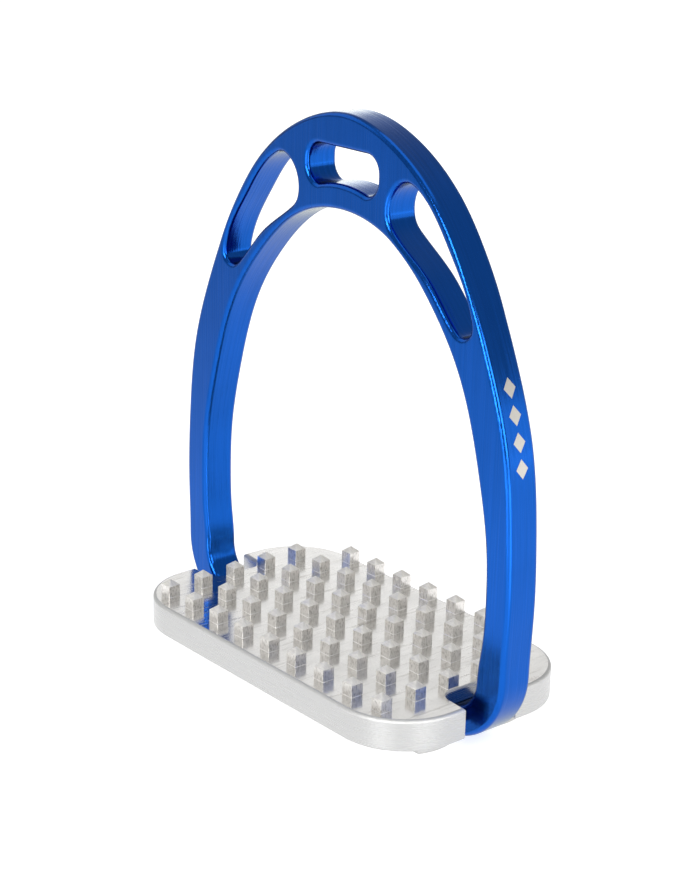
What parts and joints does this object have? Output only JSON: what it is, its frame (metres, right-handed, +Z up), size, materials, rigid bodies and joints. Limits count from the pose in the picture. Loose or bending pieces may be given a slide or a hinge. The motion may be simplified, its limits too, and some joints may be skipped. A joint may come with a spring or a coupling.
{
  "type": "stirrup iron",
  "caption": "Stirrup iron: a blue anodised arched bow with a strap slot and two side windows, standing in a notched silver tread with square grip studs.",
  "frame": {"origin": "on the ground under the middle of the tread, in the plane of the bow", "axes": "+Z up, +X along the tread from one leg of the bow to the other, +Y towards the back of the tread, the side without corner studs"},
  "size_m": [0.1364, 0.067, 0.157],
  "materials": {
    "anodised_blue": "blue anodised, satin, fine brush lines",
    "milled_aluminium": "bright milled top, satin brushed sides",
    "screw_steel": "bright zinc plated"
  },
  "bodies": {
    "root": {"bow": "anodised_blue", "tread": "milled_aluminium", "screw_1": "screw_steel", "screw_2": "screw_steel", "screw_3": "screw_steel", "screw_4": "screw_steel"}
  },
  "joints": []
}
